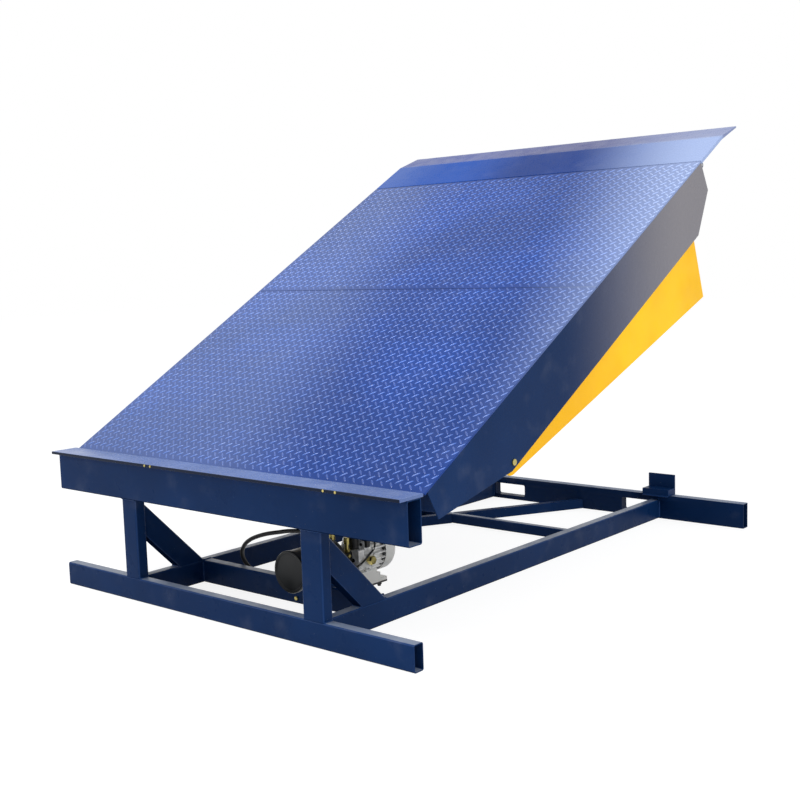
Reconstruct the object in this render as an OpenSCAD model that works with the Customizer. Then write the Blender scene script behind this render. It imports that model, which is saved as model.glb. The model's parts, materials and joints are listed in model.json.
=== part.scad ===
// Hydraulic dock leveler on a floor-standing frame, deck raised and lip out
// X runs across the deck, Y from the hinge end to the lip end, Z up from the floor
// The origin is on the floor, at the middle of the front ground beam

/* [Frame] */
// Length of the front ground beam
front_beam_len = 2000; // [1700:10:2400]
// Height of the ground tubes, posts and braces across their wide side
tube_h = 100; // [80:5:120]
// Narrow side of the ground tubes, posts and braces
tube_d = 50; // [40:5:60]
// Wall of every frame tube
tube_wall = 4; // [3:0.5:6]
// Distance of each rail's centre line from the middle
rail_x = 535; // [450:5:700]
// Length of the two rails
rail_len = 2515; // [2400:5:2700]
// Length of the rear beam
rear_beam_len = 2050; // [1800:10:2500]
// Height of the rear beam
rear_beam_h = 125; // [110:5:150]
// Height of the posts between the ground beam and the upper beam
post_h = 336; // [300:2:420]
// Width of the posts
post_w = 92; // [80:2:100]
// How much wider the right post is, on its inner side
right_post_extra = 14; // [0:1:30]
// Length of the upper beam
upper_beam_len = 2000; // [1700:10:2400]
// Height of the upper beam
upper_beam_h = 160; // [120:5:180]
// Depth of the upper beam
upper_beam_d = 74; // [60:2:90]
// Width of the approach plate on the upper beam
approach_w = 126; // [90:1:130]
// How far the approach plate stands out in front of the upper beam
approach_overhang = 38; // [10:1:45]
// Thickness of the approach plate
approach_t = 12; // [8:1:16]

/* [Frame bracing] */
// Height up the post's back at which the top edge of the brace meets it
brace_top = 320; // [240:5:325]
// Distance of the front cross tube from the front ground beam
front_cross_gap = 312; // [300:2:340]
// Distance of the middle cross tube from the front ground beam
middle_cross_gap = 1834; // [1700:2:1950]
// Height of the middle cross tube and the diagonal
light_tube_h = 50; // [40:5:80]
// Narrow side of the middle cross tube and the diagonal
light_tube_d = 40; // [30:5:50]
// How far along the left rail the diagonal starts, from the front ground beam
diagonal_start = 1498; // [1300:2:1600]
// Place across the rear beam at which the diagonal ends
diagonal_end_x = 70; // [0:5:150]

/* [Rear beam fittings] */
// Height of each fork pocket
pocket_h = 67; // [50:1:80]
// Height of the pocket's lower edge above the floor
pocket_z = 22; // [15:1:28]
// Distance of the left fork pocket's inner edge from the middle of the beam
left_pocket_x = 294; // [260:1:350]
// Distance of the right fork pocket's inner edge from the middle of the beam
right_pocket_x = 336; // [260:1:390]
// Clear metal between a pocket and the rail
pocket_rail_gap = 12; // [8:1:30]
// Radius of a pocket's corners
pocket_corner_r = 10; // [6:1:14]
// Wall of the liner in a pocket
liner_t = 4; // [3:0.5:6]
// Distance of each keeper's middle from the middle of the beam
keeper_x = 552; // [480:2:640]
// Width of each lip keeper
keeper_w = 150; // [100:5:180]
// Thickness of the keeper's seat
keeper_seat_t = 35; // [20:1:40]
// Depth of the keeper's seat
keeper_seat_d = 80; // [60:5:100]
// Height of the keeper's upright above its seat
keeper_upright_h = 70; // [50:5:90]
// Thickness of the keeper's upright
keeper_upright_t = 10; // [8:1:12]

/* [Deck] */
// Angle at which the deck stands raised
deck_angle = 30; // [20:0.5:34]
// Width of the deck
deck_w = 1990; // [1800:10:2200]
// Length of the deck along its slope
deck_len = 2394; // [2300:2:2440]
// Thickness of the tread plates
deck_t = 8; // [6:1:10]
// Distance of the seam between the two tread plates from the hinge edge
seam_s = 1310; // [1200:10:1420]
// Gap of the seam
seam_gap = 1; // [0.5:0.5:3]
// Depth of the hinge axis below the deck's top
hinge_drop = 29; // [28:1:32]
// Distance of the hinge axis from the back of the upper beam
hinge_reach = 39; // [30:1:45]
// Thickness of the side skirts
skirt_t = 6; // [4:1:8]
// Distance of a skirt's near end from the hinge edge
skirt_start = 15; // [0:1:40]
// Depth of a skirt at the hinge end
skirt_near_h = 127; // [100:1:135]
// Depth of a skirt at the knee
skirt_knee_h = 264; // [255:1:275]
// Distance of the knee from the hinge edge
skirt_knee_s = 448; // [400:2:500]
// Greatest depth of a skirt, near the lip end
skirt_far_h = 281; // [275:1:300]
// Depth of a skirt at the lip end
skirt_nose_h = 149; // [145:1:190]
// Length of the sloped corner at the skirt's lip end
skirt_nose_len = 190; // [120:10:240]

/* [Deck underside] */
// Depth of the ribs under the deck
rib_h = 130; // [100:5:140]
// Width of a rib's flanges
rib_w = 60; // [40:5:80]
// Thickness of the ribs
rib_t = 6; // [4:1:8]
// Distance of the innermost ribs from the middle
rib_x = 110; // [100:5:130]
// Distance from one rib to the next
rib_pitch = 310; // [280:5:340]
// Number of ribs on each side
ribs = 3; // [2:1:3]
// Thickness of the cross headers at both ends of the ribs
header_t = 12; // [8:1:16]
// Depth of the header at the hinge end
near_header_h = 100; // [80:5:110]
// Depth of the header at the lip end
far_header_h = 140; // [130:5:145]
// Distance of the far header's face from the deck's edge
far_header_back = 10; // [8:1:20]

/* [Deck hinge] */
// Radius of the hinge knuckles
knuckle_r = 16; // [14:1:18]
// Radius of the hinge pins
hinge_pin_r = 10; // [8:0.5:11]
// Length of a hinge knuckle
knuckle_len = 60; // [40:5:90]
// Thickness of a hinge lug on the upper beam
lug_t = 12; // [8:1:16]
// How much deeper a hinge lug is at the beam than at its pin
lug_foot = 20; // [10:1:40]
// Distance of the inner hinges from the middle
inner_hinge_x = 300; // [200:10:400]
// Distance of the outer hinges from the middle
outer_hinge_x = 850; // [700:10:900]

/* [Lip] */
// How far the lip's sides stand in from the deck's sides
lip_inset = 0; // [0:1:20]
// Length of the lip from its hinge axis to its bend
lip_flat = 231; // [180:1:260]
// Length of the lip past its bend
lip_tip = 172; // [120:1:180]
// Angle of the bend
lip_bend = 10.5; // [6:0.5:14]
// Thickness of the lip
lip_t = 16; // [12:1:18]
// Thickness of the lip at its tip
lip_tip_t = 7; // [4:1:10]
// Depth of the lip's hinge axis below the deck's top
lip_drop = 30; // [30:1:36]
// Distance of the lip's hinge axis from the deck's edge
lip_reach = 20; // [18:1:26]
// Gap between the deck's edge and the lip
lip_gap = 5; // [5:1:14]
// Radius of the lip's hinge knuckles
lip_knuckle_r = 12; // [11:0.5:12]
// Radius of the lip's hinge pin
lip_pin_r = 7; // [5:0.5:8]
// Number of knuckles along the lip, deck and lip by turns
lip_knuckles = 13; // [9:2:17]
// Gap between two knuckles
lip_knuckle_gap = 4; // [2:1:8]

/* [Toe guards] */
// Thickness of a toe guard
guard_t = 4; // [3:0.5:6]
// Gap between a skirt and its toe guard
guard_gap = 6; // [5:1:12]
// Distance of the pivot from the hinge edge
guard_pivot_s = 472; // [465:1:500]
// Depth of the pivot below the deck's top
guard_pivot_h = 240; // [225:1:242]
// Radius of the toe guard round its pivot
guard_nose_r = 52; // [40:1:58]
// Distance of the toe guard's far lower corner from the hinge edge
guard_far_s = 2125; // [1900:5:2150]
// Depth of the far lower corner below the deck's top
guard_far_h = 565; // [480:1:570]
// Depth of the far upper corner below the deck's top
guard_top_h = 257; // [250:1:265]
// How much further the far upper corner lies than the lower one
guard_far_lean = 55; // [20:1:80]
// Radius of the pivot bolt
guard_bolt_r = 8; // [6:0.5:9]
// Radius of the bolt's head and nut
bolt_head_r = 12.5; // [12:0.5:16]
// Thickness of the bolt's head and nut
bolt_head_t = 6; // [5:1:10]

/* [Lift cylinder] */
// Distance of the base pin from the front cross tube
base_pin_reach = 73; // [65:1:85]
// Height of the base pin
base_pin_z = 60; // [55:1:75]
// Distance of the deck pin from the hinge axis
deck_pin_s = 750; // [700:10:800]
// Depth of the deck pin below the deck's top
deck_pin_h = 130; // [110:1:140]
// Radius of both cylinder pins
cylinder_pin_r = 12; // [10:0.5:14]
// Radius of the barrel
barrel_r = 38; // [34:1:45]
// Length of the barrel from the base pin
barrel_len = 500; // [460:5:510]
// Radius of the rod
rod_r = 22; // [18:1:25]
// Radius of the eye at the base of the barrel
eye_r = 28; // [26:1:34]
// Wall of the rod's eye round its bore
rod_eye_wall = 9; // [7:1:12]
// Depth of solid metal at the foot of the barrel
barrel_foot = 60; // [50:1:70]
// Length of the neck between the base eye and the barrel
barrel_neck = 10; // [6:1:14]
// Length of the gland at the barrel's upper end
gland_len = 30; // [20:1:40]
// How far the gland stands out from the barrel
gland_wall = 4; // [2:0.5:6]
// Width of the eyes
eye_w = 50; // [40:2:60]
// Thickness of the lug ears
ear_t = 12; // [10:1:16]
// How far the base lug stays inside the height of the cross tube
lug_inset = 6; // [4:1:10]
// How far a pin stands out past its lugs
pin_end = 5; // [3:1:8]

/* [Power unit] */
// Distance of the power unit's axis from the middle
unit_x = 205; // [180:5:230]
// Radius of the oil tank
tank_r = 85; // [80:0.5:90]
// Length of the oil tank
tank_len = 240; // [220:5:260]
// How far the tank stands out in front of the front cross tube
tank_front = 162; // [150:2:180]
// Thickness of the saddle under the tank
saddle_t = 3; // [3:0.5:8]
// Width of the saddle
saddle_w = 142; // [120:2:160]
// Height of the saddle at its horns
saddle_h = 36; // [28:1:44]
// Width of the valve block
block_w = 90; // [80:2:110]
// Length of the valve block along the unit
block_len = 80; // [70:2:100]
// Height of the valve block above the unit's axis
block_up = 105; // [95:1:115]
// Depth of the valve block below the unit's axis
block_down = 55; // [50:1:70]
// Radius of the motor's body under its fins
motor_r = 68; // [60:1:75]
// Length of the motor's body
motor_len = 150; // [130:5:180]
// Height of the motor's fins
fin_h = 12; // [8:1:16]
// Thickness of a fin
fin_t = 3; // [2:0.5:4]
// How far the fins stop short of the motor's ends
fin_inset = 12; // [8:1:20]
// Number of fins
fins = 28; // [20:2:36]
// Radius of the fan cowl
cowl_r = 97; // [88:1:102]
// Length of the fan cowl
cowl_len = 75; // [60:5:90]
// Wall of the fan cowl
cowl_wall = 3; // [2:0.5:4]
// Radius of the cowl's rounded end
cowl_round = 28; // [20:1:34]
// How deep the motor's end shield sits inside the cowl
shield_in = 14; // [8:1:20]
// Thickness of the motor's end shield
shield_t = 10; // [6:1:14]
// Width of the terminal box across the unit
box_w = 90; // [70:5:110]
// Distance of the terminal box from the valve block
box_back = 55; // [30:1:60]
// Length of the terminal box's neck under the motor
box_neck_len = 90; // [60:2:92]
// Height of the terminal box's neck
box_neck_h = 20; // [20:1:26]
// Length of the terminal box along the unit
box_len = 112; // [90:2:120]
// Height of the terminal box
box_h = 26; // [20:1:34]
// Length of the terminal box's lid
box_lid_len = 153; // [122:1:160]
// Thickness of the terminal box's lid
box_lid_t = 16; // [10:1:20]
// Radius of the hose fittings
port_r = 12; // [10:0.5:14]
// Length of the port on the valve block
port_len = 28; // [20:1:36]
// Height of the port above the unit's axis
port_up = 81; // [75:1:90]
// How far the port lies in front of the valve block's middle
port_shift = 5; // [0:1:10]
// Length of the union on the cylinder's base lug
union_len = 38; // [30:1:46]
// Height of the union above the floor
union_z = 28; // [20:1:32]
// Diameter of the hose
hose_d = 18; // [14:1:20]

/* [Clearances] */
// Running gap of a pin in a moving knuckle or eye
pin_gap = 0.2; // [0.1:0.05:0.5]
// Gap round the deck's pin in the eye of the rod
rod_eye_gap = 10; // [9:0.5:13]
// Gap between the rod's end and the barrel's foot with the deck level
rod_end_gap = 20; // [10:1:25]
// Gap between a rod and the bore that it slides in
rod_gap = 0.5; // [0.3:0.1:1]
// Gap at each side of an eye or knuckle between its lugs
side_gap = 3; // [2:0.5:6]
// Gap between a pin or bolt and the hole that holds it
fit_gap = 0.1; // [0.05:0.05:0.3]
// Gap between the hinge's knuckles and the near header
header_gap = 8; // [5:1:12]
// Gap between the tank and its saddle
seat_gap = 0.2; // [0.1:0.05:0.5]

/* [Hidden] */
$fn = 48;

navy = [0.10, 0.17, 0.33];
deck_blue = [0.22, 0.33, 0.65];
guard_yellow = [1.0, 0.72, 0.12];
steel = [0.70, 0.71, 0.73];
black = [0.05, 0.05, 0.06];
zinc = [0.80, 0.68, 0.35];
cast = [0.66, 0.67, 0.68];

// Places along Y and heights of the frame
front_y = tube_d / 2;
rear_y = front_y + rail_len;
front_cross_y = front_y + front_cross_gap;
middle_cross_y = front_y + middle_cross_gap;
upper_beam_z = tube_h + post_h;
approach_z = upper_beam_z + upper_beam_h;
deck_level = approach_z + approach_t;
rail_inner = rail_x - tube_d / 2;
pocket_end = rail_inner - pocket_rail_gap;
left_pocket = [-(pocket_end + left_pocket_x) / 2, pocket_end - left_pocket_x];
right_pocket = [(pocket_end + right_pocket_x) / 2, pocket_end - right_pocket_x];
pockets = [left_pocket, right_pocket];

// The hinge axis, and the places of the deck's pieces measured from it
hinge_y = upper_beam_d / 2 + hinge_reach;
hinge_z = deck_level - hinge_drop;
deck_bottom = hinge_drop - deck_t;
hinge_places = [-outer_hinge_x, -inner_hinge_x, inner_hinge_x, outer_hinge_x];
skirt_x = deck_w / 2 - skirt_t;
near_header_s = knuckle_r + header_gap;
far_header_s = deck_len - header_t - far_header_back;
lip_s = deck_len + lip_reach;
lip_n = hinge_drop - lip_drop;
lip_near = lip_gap - lip_reach;
lip_w = deck_w - 2 * lip_inset;
lip_span = 2 * (skirt_x - side_gap);
lip_knuckle_len = (lip_span - (lip_knuckles - 1) * lip_knuckle_gap) / lip_knuckles;
guard_x = skirt_x - guard_gap - guard_t;
guard_pivot_n = hinge_drop - guard_pivot_h;

// The lift cylinder between its two pins, with the deck as it stands raised
base_pin_y = front_cross_y + tube_d + base_pin_reach;
deck_pin_n = hinge_drop - deck_pin_h;
deck_pin_y = hinge_y + deck_pin_s * cos(deck_angle) - deck_pin_n * sin(deck_angle);
deck_pin_z = hinge_z + deck_pin_s * sin(deck_angle) + deck_pin_n * cos(deck_angle);
lift_len = norm([deck_pin_y - base_pin_y, deck_pin_z - base_pin_z]);
lift_angle = atan2(deck_pin_z - base_pin_z, deck_pin_y - base_pin_y);
lift_closed = norm([hinge_y + deck_pin_s - base_pin_y, hinge_z + deck_pin_n - base_pin_z]);
rod_eye_bore = cylinder_pin_r + rod_eye_gap;
rod_eye_r = rod_eye_bore + rod_eye_wall;
ear_gap = eye_w + 2 * side_gap;

// The power unit along Y
unit_z = tube_h + saddle_t + tank_r;
tank_y = front_cross_y - tank_front;
block_y = tank_y + tank_len;
motor_y = block_y + block_len;
cowl_y = motor_y + motor_len;
shield_r = cowl_r - cowl_wall - seat_gap;

// The hose from the valve block round to the lift cylinder's base: its ends stay on their fittings
port_face = unit_x - block_w / 2;
port_tip = [port_face - port_len, block_y + block_len / 2 - port_shift, unit_z + port_up];
union_face = -ear_gap / 2 - ear_t;
union_tip = [union_face - union_len, base_pin_y - eye_r - 1, union_z];
hose_route = concat(
  [port_tip, port_tip - [22, 0, 0]],
  [[68, 440, 278], [30, 420, 283], [-24, 402, 280], [-81, 394, 269], [-145, 392, 255], [-207, 394, 236]],
  [[-262, 398, 213], [-310, 406, 181], [-341, 418, 140], [-341, 432, 98], [-312, 445, 62], [-260, 450, 38]],
  [[-200, 447, union_z], union_tip - [66, -8, 0], union_tip - [32, -1, 0], union_tip - [14, 0, 0], union_tip]
);

// A rectangular tube along Y, open at both ends, centred on X and standing on Z = 0
module tube_y(len, w, h)
  difference() {
    translate([-w / 2, 0, 0]) cube([w, len, h]);
    translate([-w / 2 + tube_wall, -1, tube_wall]) cube([w - 2 * tube_wall, len + 2, h - 2 * tube_wall]);
  }

// A rectangular tube along X, open at both ends, centred on X, from Y = 0 and standing on Z = 0
module tube_x(len, d, h)
  translate([-len / 2, 0, 0]) rotate([0, 0, -90]) translate([-d / 2, 0, 0]) tube_y(len, d, h);

// A plate with its outline in the Y-Z plane, from X = 0 towards +X
module side_plate(outline, t)
  rotate([90, 0, 90]) linear_extrude(t) polygon(outline);

// Points of an arc about the origin, from one angle to another
function arc(r, from, to, steps = 16) =
  [for (i = [0 : steps]) let (a = from + (to - from) * i / steps) r * [cos(a), sin(a)]];

// A round bar along X, centred on X = 0
module bar_x(r, len)
  rotate([0, 90, 0]) cylinder(r = r, h = len, center = true);

// A piece with its outline in the Y-Z plane, centred on X = 0 and bored at the outline's origin
module bored_plate(outline, len, bore_r)
  difference() {
    translate([-len / 2, 0, 0]) side_plate(outline, len);
    bar_x(bore_r, len + 2);
  }

// Puts a piece that is drawn flat, from the hinge axis, onto the raised deck
module on_deck()
  translate([0, hinge_y, hinge_z]) rotate([deck_angle, 0, 0]) children();

// Puts a piece that is drawn from the lip's hinge axis onto the lip
module on_lip()
  on_deck() translate([0, lip_s, lip_n]) children();

// Puts a piece that is drawn along Y from the base pin onto the lift cylinder's axis
module on_lift()
  translate([0, base_pin_y, base_pin_z]) rotate([lift_angle, 0, 0]) children();

module front_ground_beam()
  color(navy) translate([0, -tube_d / 2, 0]) tube_x(front_beam_len, tube_d, tube_h);

// A post stands on the front ground beam and carries the upper beam
module post(side) {
  w = post_w + (side > 0 ? right_post_extra : 0);
  color(navy) translate([side * rail_x + post_w / 2 - w, -tube_d / 2, tube_h])
    difference() {
      cube([w, tube_d, post_h]);
      translate([tube_wall, tube_wall, -1]) cube([w - 2 * tube_wall, tube_d - 2 * tube_wall, post_h + 2]);
    }
}

// A brace leans at 45 degrees from the back of a post down to the rail
module brace(side) {
  low = brace_top - tube_h * sqrt(2);
  outline = [[0, brace_top], [brace_top, 0], [low, 0], [0, low]];
  inner = tube_wall * sqrt(2);
  top = brace_top - inner + 1;
  foot = low + inner + 1;
  bore = [[-1, top], [top, -1], [foot, -1], [-1, foot]];
  color(navy) translate([side * rail_x - tube_d / 2, front_y, tube_h])
    difference() {
      side_plate(outline, tube_d);
      translate([tube_wall, 0, 0]) side_plate(bore, tube_d - 2 * tube_wall);
    }
}

module upper_beam()
  color(navy) translate([0, -upper_beam_d / 2, upper_beam_z])
    tube_x(upper_beam_len, upper_beam_d, upper_beam_h);

module approach_plate()
  color(deck_blue) translate([-upper_beam_len / 2, -upper_beam_d / 2 - approach_overhang, approach_z])
    cube([upper_beam_len, approach_w, approach_t]);

module rail(side)
  color(navy) translate([side * rail_x, front_y, 0]) tube_y(rail_len, tube_d, tube_h);

module front_cross_tube()
  color(navy) translate([0, front_cross_y, 0]) tube_x(2 * rail_inner, tube_d, tube_h);

module middle_cross_tube()
  color(navy) translate([0, middle_cross_y, 0]) tube_x(2 * rail_inner, light_tube_d, light_tube_h);

// The diagonal runs in plan from the left rail to the rear beam, in two lengths that butt against
// the middle cross tube
module diagonal_tubes() {
  start = [-rail_inner, front_y + diagonal_start];
  end = [diagonal_end_x, rear_y];
  run = end - start;
  turn = atan2(-run[0], run[1]);
  reach = norm(run) + 4 * light_tube_d;
  split = middle_cross_y + light_tube_d;
  room = [2 * rail_inner, middle_cross_y - front_y, light_tube_h + 2];
  color(navy) intersection() {
    translate([start[0], start[1], 0]) rotate([0, 0, turn]) translate([0, -2 * light_tube_d, 0])
      tube_y(reach, light_tube_d, light_tube_h);
    union() {
      translate([-rail_inner, front_y, -1]) cube(room);
      translate([-rail_inner, split, -1]) cube([room[0], rear_y - split, room[2]]);
    }
  }
}

// A bar along Y with rounded edges, centred on X, from Y = 0 and standing on Z = 0
module pocket_bar(w, h, r, len) {
  x = w / 2 - r;
  outline = concat(
    [for (p = arc(r, 0, 90, 6)) p + [x, h - r]], [for (p = arc(r, 90, 180, 6)) p + [-x, h - r]],
    [for (p = arc(r, 180, 270, 6)) p + [-x, r]], [for (p = arc(r, 270, 360, 6)) p + [x, r]]
  );
  translate([0, len, 0]) rotate([90, 0, 0]) linear_extrude(len) polygon(outline);
}

// The rear beam carries two fork pockets, each lined by a length of rounded tube
module rear_beam()
  color(navy) translate([0, rear_y, 0])
    difference() {
      union() {
        tube_x(rear_beam_len, tube_d, rear_beam_h);
        for (p = pockets)
          translate([p[0] - p[1] / 2 - liner_t, tube_wall / 2, pocket_z - liner_t])
            cube([p[1] + 2 * liner_t, tube_d - tube_wall, pocket_h + 2 * liner_t]);
      }
      for (p = pockets)
        translate([p[0], -1, pocket_z]) pocket_bar(p[1], pocket_h, pocket_corner_r, tube_d + 2);
    }

// A keeper is a seat on the rear beam with an upright behind it, and catches the lip's edge
module keeper(side) {
  back = rear_y + tube_d;
  color(navy) translate([side * keeper_x - keeper_w / 2, back, rear_beam_h]) {
    translate([0, -keeper_seat_d, 0]) cube([keeper_w, keeper_seat_d, keeper_seat_t]);
    translate([0, -keeper_upright_t, 0]) cube([keeper_w, keeper_upright_t, keeper_seat_t + keeper_upright_h]);
  }
}

// A pair of lugs at each hinge, welded to the back of the upper beam
module deck_hinge_lugs() {
  reach = knuckle_len / 2 + side_gap;
  foot = [[-hinge_reach, knuckle_r / 2], [-hinge_reach, -knuckle_r - lug_foot]];
  outline = concat(arc(knuckle_r, -90, 130), foot);
  color(navy) for (x = hinge_places) for (side = [-1, 1])
    translate([x + side * (reach + lug_t / 2), hinge_y, hinge_z])
      bored_plate(outline, lug_t, hinge_pin_r + fit_gap);
}

module deck_hinge_pins()
  color(steel) for (x = hinge_places)
    translate([x, hinge_y, hinge_z]) bar_x(hinge_pin_r, knuckle_len + 2 * (side_gap + lug_t + pin_end));

// A pair of ears on both sides of an eye, with a pin through them
module ears(outline) {
  for (side = [-1, 1])
    translate([side * (ear_gap + ear_t) / 2 - ear_t / 2, 0, 0]) side_plate(outline, ear_t);
  bar_x(cylinder_pin_r, ear_gap + 2 * (ear_t + pin_end));
}

// The cylinder's base lug is a pair of ears on the back of the front cross tube
module cylinder_base_lug() {
  low = lug_inset - base_pin_z;
  high = tube_h - lug_inset - base_pin_z;
  outline = concat(arc(eye_r, -90, 90), [[-base_pin_reach, high], [-base_pin_reach, low]]);
  color(navy) translate([0, base_pin_y, base_pin_z]) ears(outline);
}

module tank_saddle()
  color(navy) translate([unit_x, front_cross_y, tube_h])
    difference() {
      translate([-saddle_w / 2, 0, 0]) cube([saddle_w, tube_d, saddle_h]);
      translate([0, -1, unit_z - tube_h]) rotate([-90, 0, 0]) cylinder(r = tank_r + seat_gap, h = tube_d + 2);
    }

// A round piece of the power unit along Y
module unit_round(y, r, len)
  translate([unit_x, y, unit_z]) rotate([-90, 0, 0]) cylinder(r = r, h = len);

module oil_tank()
  color(black) unit_round(tank_y, tank_r, tank_len);

module valve_block()
  color(cast) translate([unit_x - block_w / 2, block_y, unit_z - block_down])
    cube([block_w, block_len, block_up + block_down]);

// The motor's end shield sits inside the fan cowl
module motor() {
  fin_len = motor_len - 2 * fin_inset;
  color(cast) {
    unit_round(motor_y, motor_r, motor_len + shield_in);
    unit_round(cowl_y + shield_in, shield_r, shield_t);
    for (i = [0 : fins - 1])
      translate([unit_x, motor_y + fin_inset, unit_z]) rotate([0, i * 360 / fins, 0])
        translate([-fin_t / 2, 0, motor_r - fin_t]) cube([fin_t, fin_len, fin_h + fin_t]);
  }
}

// The fan cowl is a cup with a rounded closed end
module fan_cowl() {
  inner = cowl_round - cowl_wall;
  middle = [cowl_r - cowl_round, cowl_len - cowl_round];
  outside = [for (p = arc(cowl_round, 0, 90, 8)) p + middle];
  inside = [for (p = arc(inner, 90, 0, 8)) p + middle];
  end = [[0, cowl_len], [0, cowl_len - cowl_wall]];
  outline = concat([[cowl_r, 0]], outside, end, inside, [[cowl_r - cowl_wall, 0]]);
  color(cast) translate([unit_x, cowl_y, unit_z]) rotate([-90, 0, 0]) rotate_extrude() polygon(outline);
}

// The terminal box hangs under the motor: a neck, the box, and a lid that reaches on under the cowl
module terminal_box()
  color(cast) translate([unit_x - box_w / 2, motor_y + box_back, unit_z - motor_r - fin_h]) {
    translate([0, 0, -box_neck_h]) cube([box_w, box_neck_len, box_neck_h]);
    translate([0, 0, -box_neck_h - box_h]) cube([box_w, box_len, box_h]);
    translate([0, 0, -box_neck_h - box_h - box_lid_t]) cube([box_w, box_lid_len, box_lid_t]);
  }

// The port on the valve block's left side that the hose screws into
module valve_port()
  color(zinc) translate([(port_face + port_tip[0]) / 2, port_tip[1], port_tip[2]]) bar_x(port_r, port_len);

// The union on the base lug's left ear, at the hose's other end
module hose_union()
  color(zinc) translate([(union_face + union_tip[0]) / 2, union_tip[1], union_tip[2]])
    bar_x(port_r, union_len);

// A round tube swept along a route: a ring of points square to the route at each of its points
module swept_tube(route, d, sides) {
  last = len(route) - 1;
  heading = [for (i = [0 : last]) route[min(i + 1, last)] - route[max(i - 1, 0)]];
  ring = [for (i = [0 : last]) let (
      t = heading[i] / norm(heading[i]),
      a = cross(t, [0, 1, 0]),
      u = a / norm(a),
      v = cross(t, u)
    ) for (k = [0 : sides - 1]) route[i] + d / 2 * (u * cos(360 * k / sides) + v * sin(360 * k / sides))];
  skin = [for (i = [0 : last - 1]) for (k = [0 : sides - 1]) let (n = (k + 1) % sides)
    [i * sides + k, i * sides + n, (i + 1) * sides + n, (i + 1) * sides + k]];
  near_end = [for (k = [sides - 1 : -1 : 0]) k];
  far_end = [for (k = [0 : sides - 1]) last * sides + k];
  polyhedron(points = ring, faces = concat(skin, [near_end, far_end]));
}

module lift_hose()
  color(black) swept_tube(hose_route, hose_d, 10);

module tread_plate(from, to)
  color(deck_blue) on_deck() translate([-deck_w / 2, from, deck_bottom]) cube([deck_w, to - from, deck_t]);

module near_tread_plate()
  tread_plate(0, seam_s - seam_gap / 2);

module far_tread_plate()
  tread_plate(seam_s + seam_gap / 2, deck_len);

// A skirt closes the deck's side: shallow at the hinge, deepest near the lip
module skirt(side) {
  knee = [skirt_knee_s, hinge_drop - skirt_knee_h];
  deepest = [deck_len - skirt_nose_len, hinge_drop - skirt_far_h];
  nose = [deck_len, hinge_drop - skirt_nose_h];
  heel = [[deck_len, deck_bottom], [skirt_start, deck_bottom], [skirt_start, hinge_drop - skirt_near_h]];
  outline = concat(heel, [knee, deepest, nose]);
  color(navy) on_deck() difference() {
    translate([side * (skirt_x + skirt_t / 2) - skirt_t / 2, 0, 0]) side_plate(outline, skirt_t);
    translate([side * skirt_x, guard_pivot_s, guard_pivot_n]) bar_x(guard_bolt_r + fit_gap, 4 * skirt_t);
  }
}

// The ribs are channels that run from one header to the other
module deck_ribs() {
  start = near_header_s + header_t;
  run = far_header_s - start;
  color(navy) on_deck() for (side = [-1, 1]) for (i = [0 : ribs - 1])
    translate([side * (rib_x + i * rib_pitch) - rib_w / 2, start, deck_bottom - rib_h])
      difference() {
        cube([rib_w, run, rib_h]);
        translate([side > 0 ? rib_t : -1, -1, rib_t]) cube([rib_w - rib_t + 1, run + 2, rib_h - 2 * rib_t]);
      }
}

module header(s, h)
  color(navy) on_deck() translate([-skirt_x, s, deck_bottom - h]) cube([2 * skirt_x, header_t, h]);

module near_header()
  header(near_header_s, near_header_h);

module far_header()
  header(far_header_s, far_header_h);

// A knuckle at each deck hinge, with an arm back to the near header
module deck_hinge_knuckles() {
  outline = concat(arc(knuckle_r, 90, 270), [[near_header_s, -knuckle_r], [near_header_s, knuckle_r]]);
  color(navy) on_deck() for (x = hinge_places)
    translate([x, 0, 0]) bored_plate(outline, knuckle_len, hinge_pin_r + pin_gap);
}

// Middle of the lip's knuckle number i
function lip_knuckle_x(i) = (lip_knuckle_len - lip_span) / 2 + i * (lip_knuckle_len + lip_knuckle_gap);

// The deck's knuckles of the lip hinge, with arms back to the far header
module deck_lip_knuckles() {
  arm = lip_s - far_header_s - header_t;
  outline = concat(arc(lip_knuckle_r, -90, 180), [[-arm, 0], [-arm, -lip_knuckle_r]]);
  color(navy) on_lip() for (i = [0 : 2 : lip_knuckles - 1])
    translate([lip_knuckle_x(i), 0, 0]) bored_plate(outline, lip_knuckle_len, lip_pin_r + fit_gap);
}

module lip_hinge_pin()
  color(steel) on_lip() bar_x(lip_pin_r, lip_span);

// The lip's own knuckles, each under the lip plate on a short lug
module lip_knuckle_row() {
  under = lip_drop - lip_t;
  outline = concat([[2 * lip_knuckle_r, under], [lip_near, under]], arc(lip_knuckle_r, 135, 330));
  color(navy) on_lip() for (i = [1 : 2 : lip_knuckles - 1])
    translate([lip_knuckle_x(i), 0, 0]) bored_plate(outline, lip_knuckle_len, lip_pin_r + pin_gap);
}

// The lip plate is flat to its bend, and beyond that slopes down and thins towards its tip
module lip_plate() {
  run = [cos(lip_bend), -sin(lip_bend)];
  square_to = [sin(lip_bend), cos(lip_bend)];
  bend = [lip_flat, lip_drop];
  tip = bend + lip_tip * run;
  inner_bend = [lip_flat - lip_t * tan(lip_bend / 2), lip_drop - lip_t];
  heel = [[lip_near, lip_drop - lip_t], [lip_near, lip_drop]];
  outline = concat(heel, [bend, tip, tip - lip_tip_t * square_to, inner_bend]);
  color(deck_blue) on_lip() translate([-lip_w / 2, 0, 0]) side_plate(outline, lip_w);
}

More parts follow.
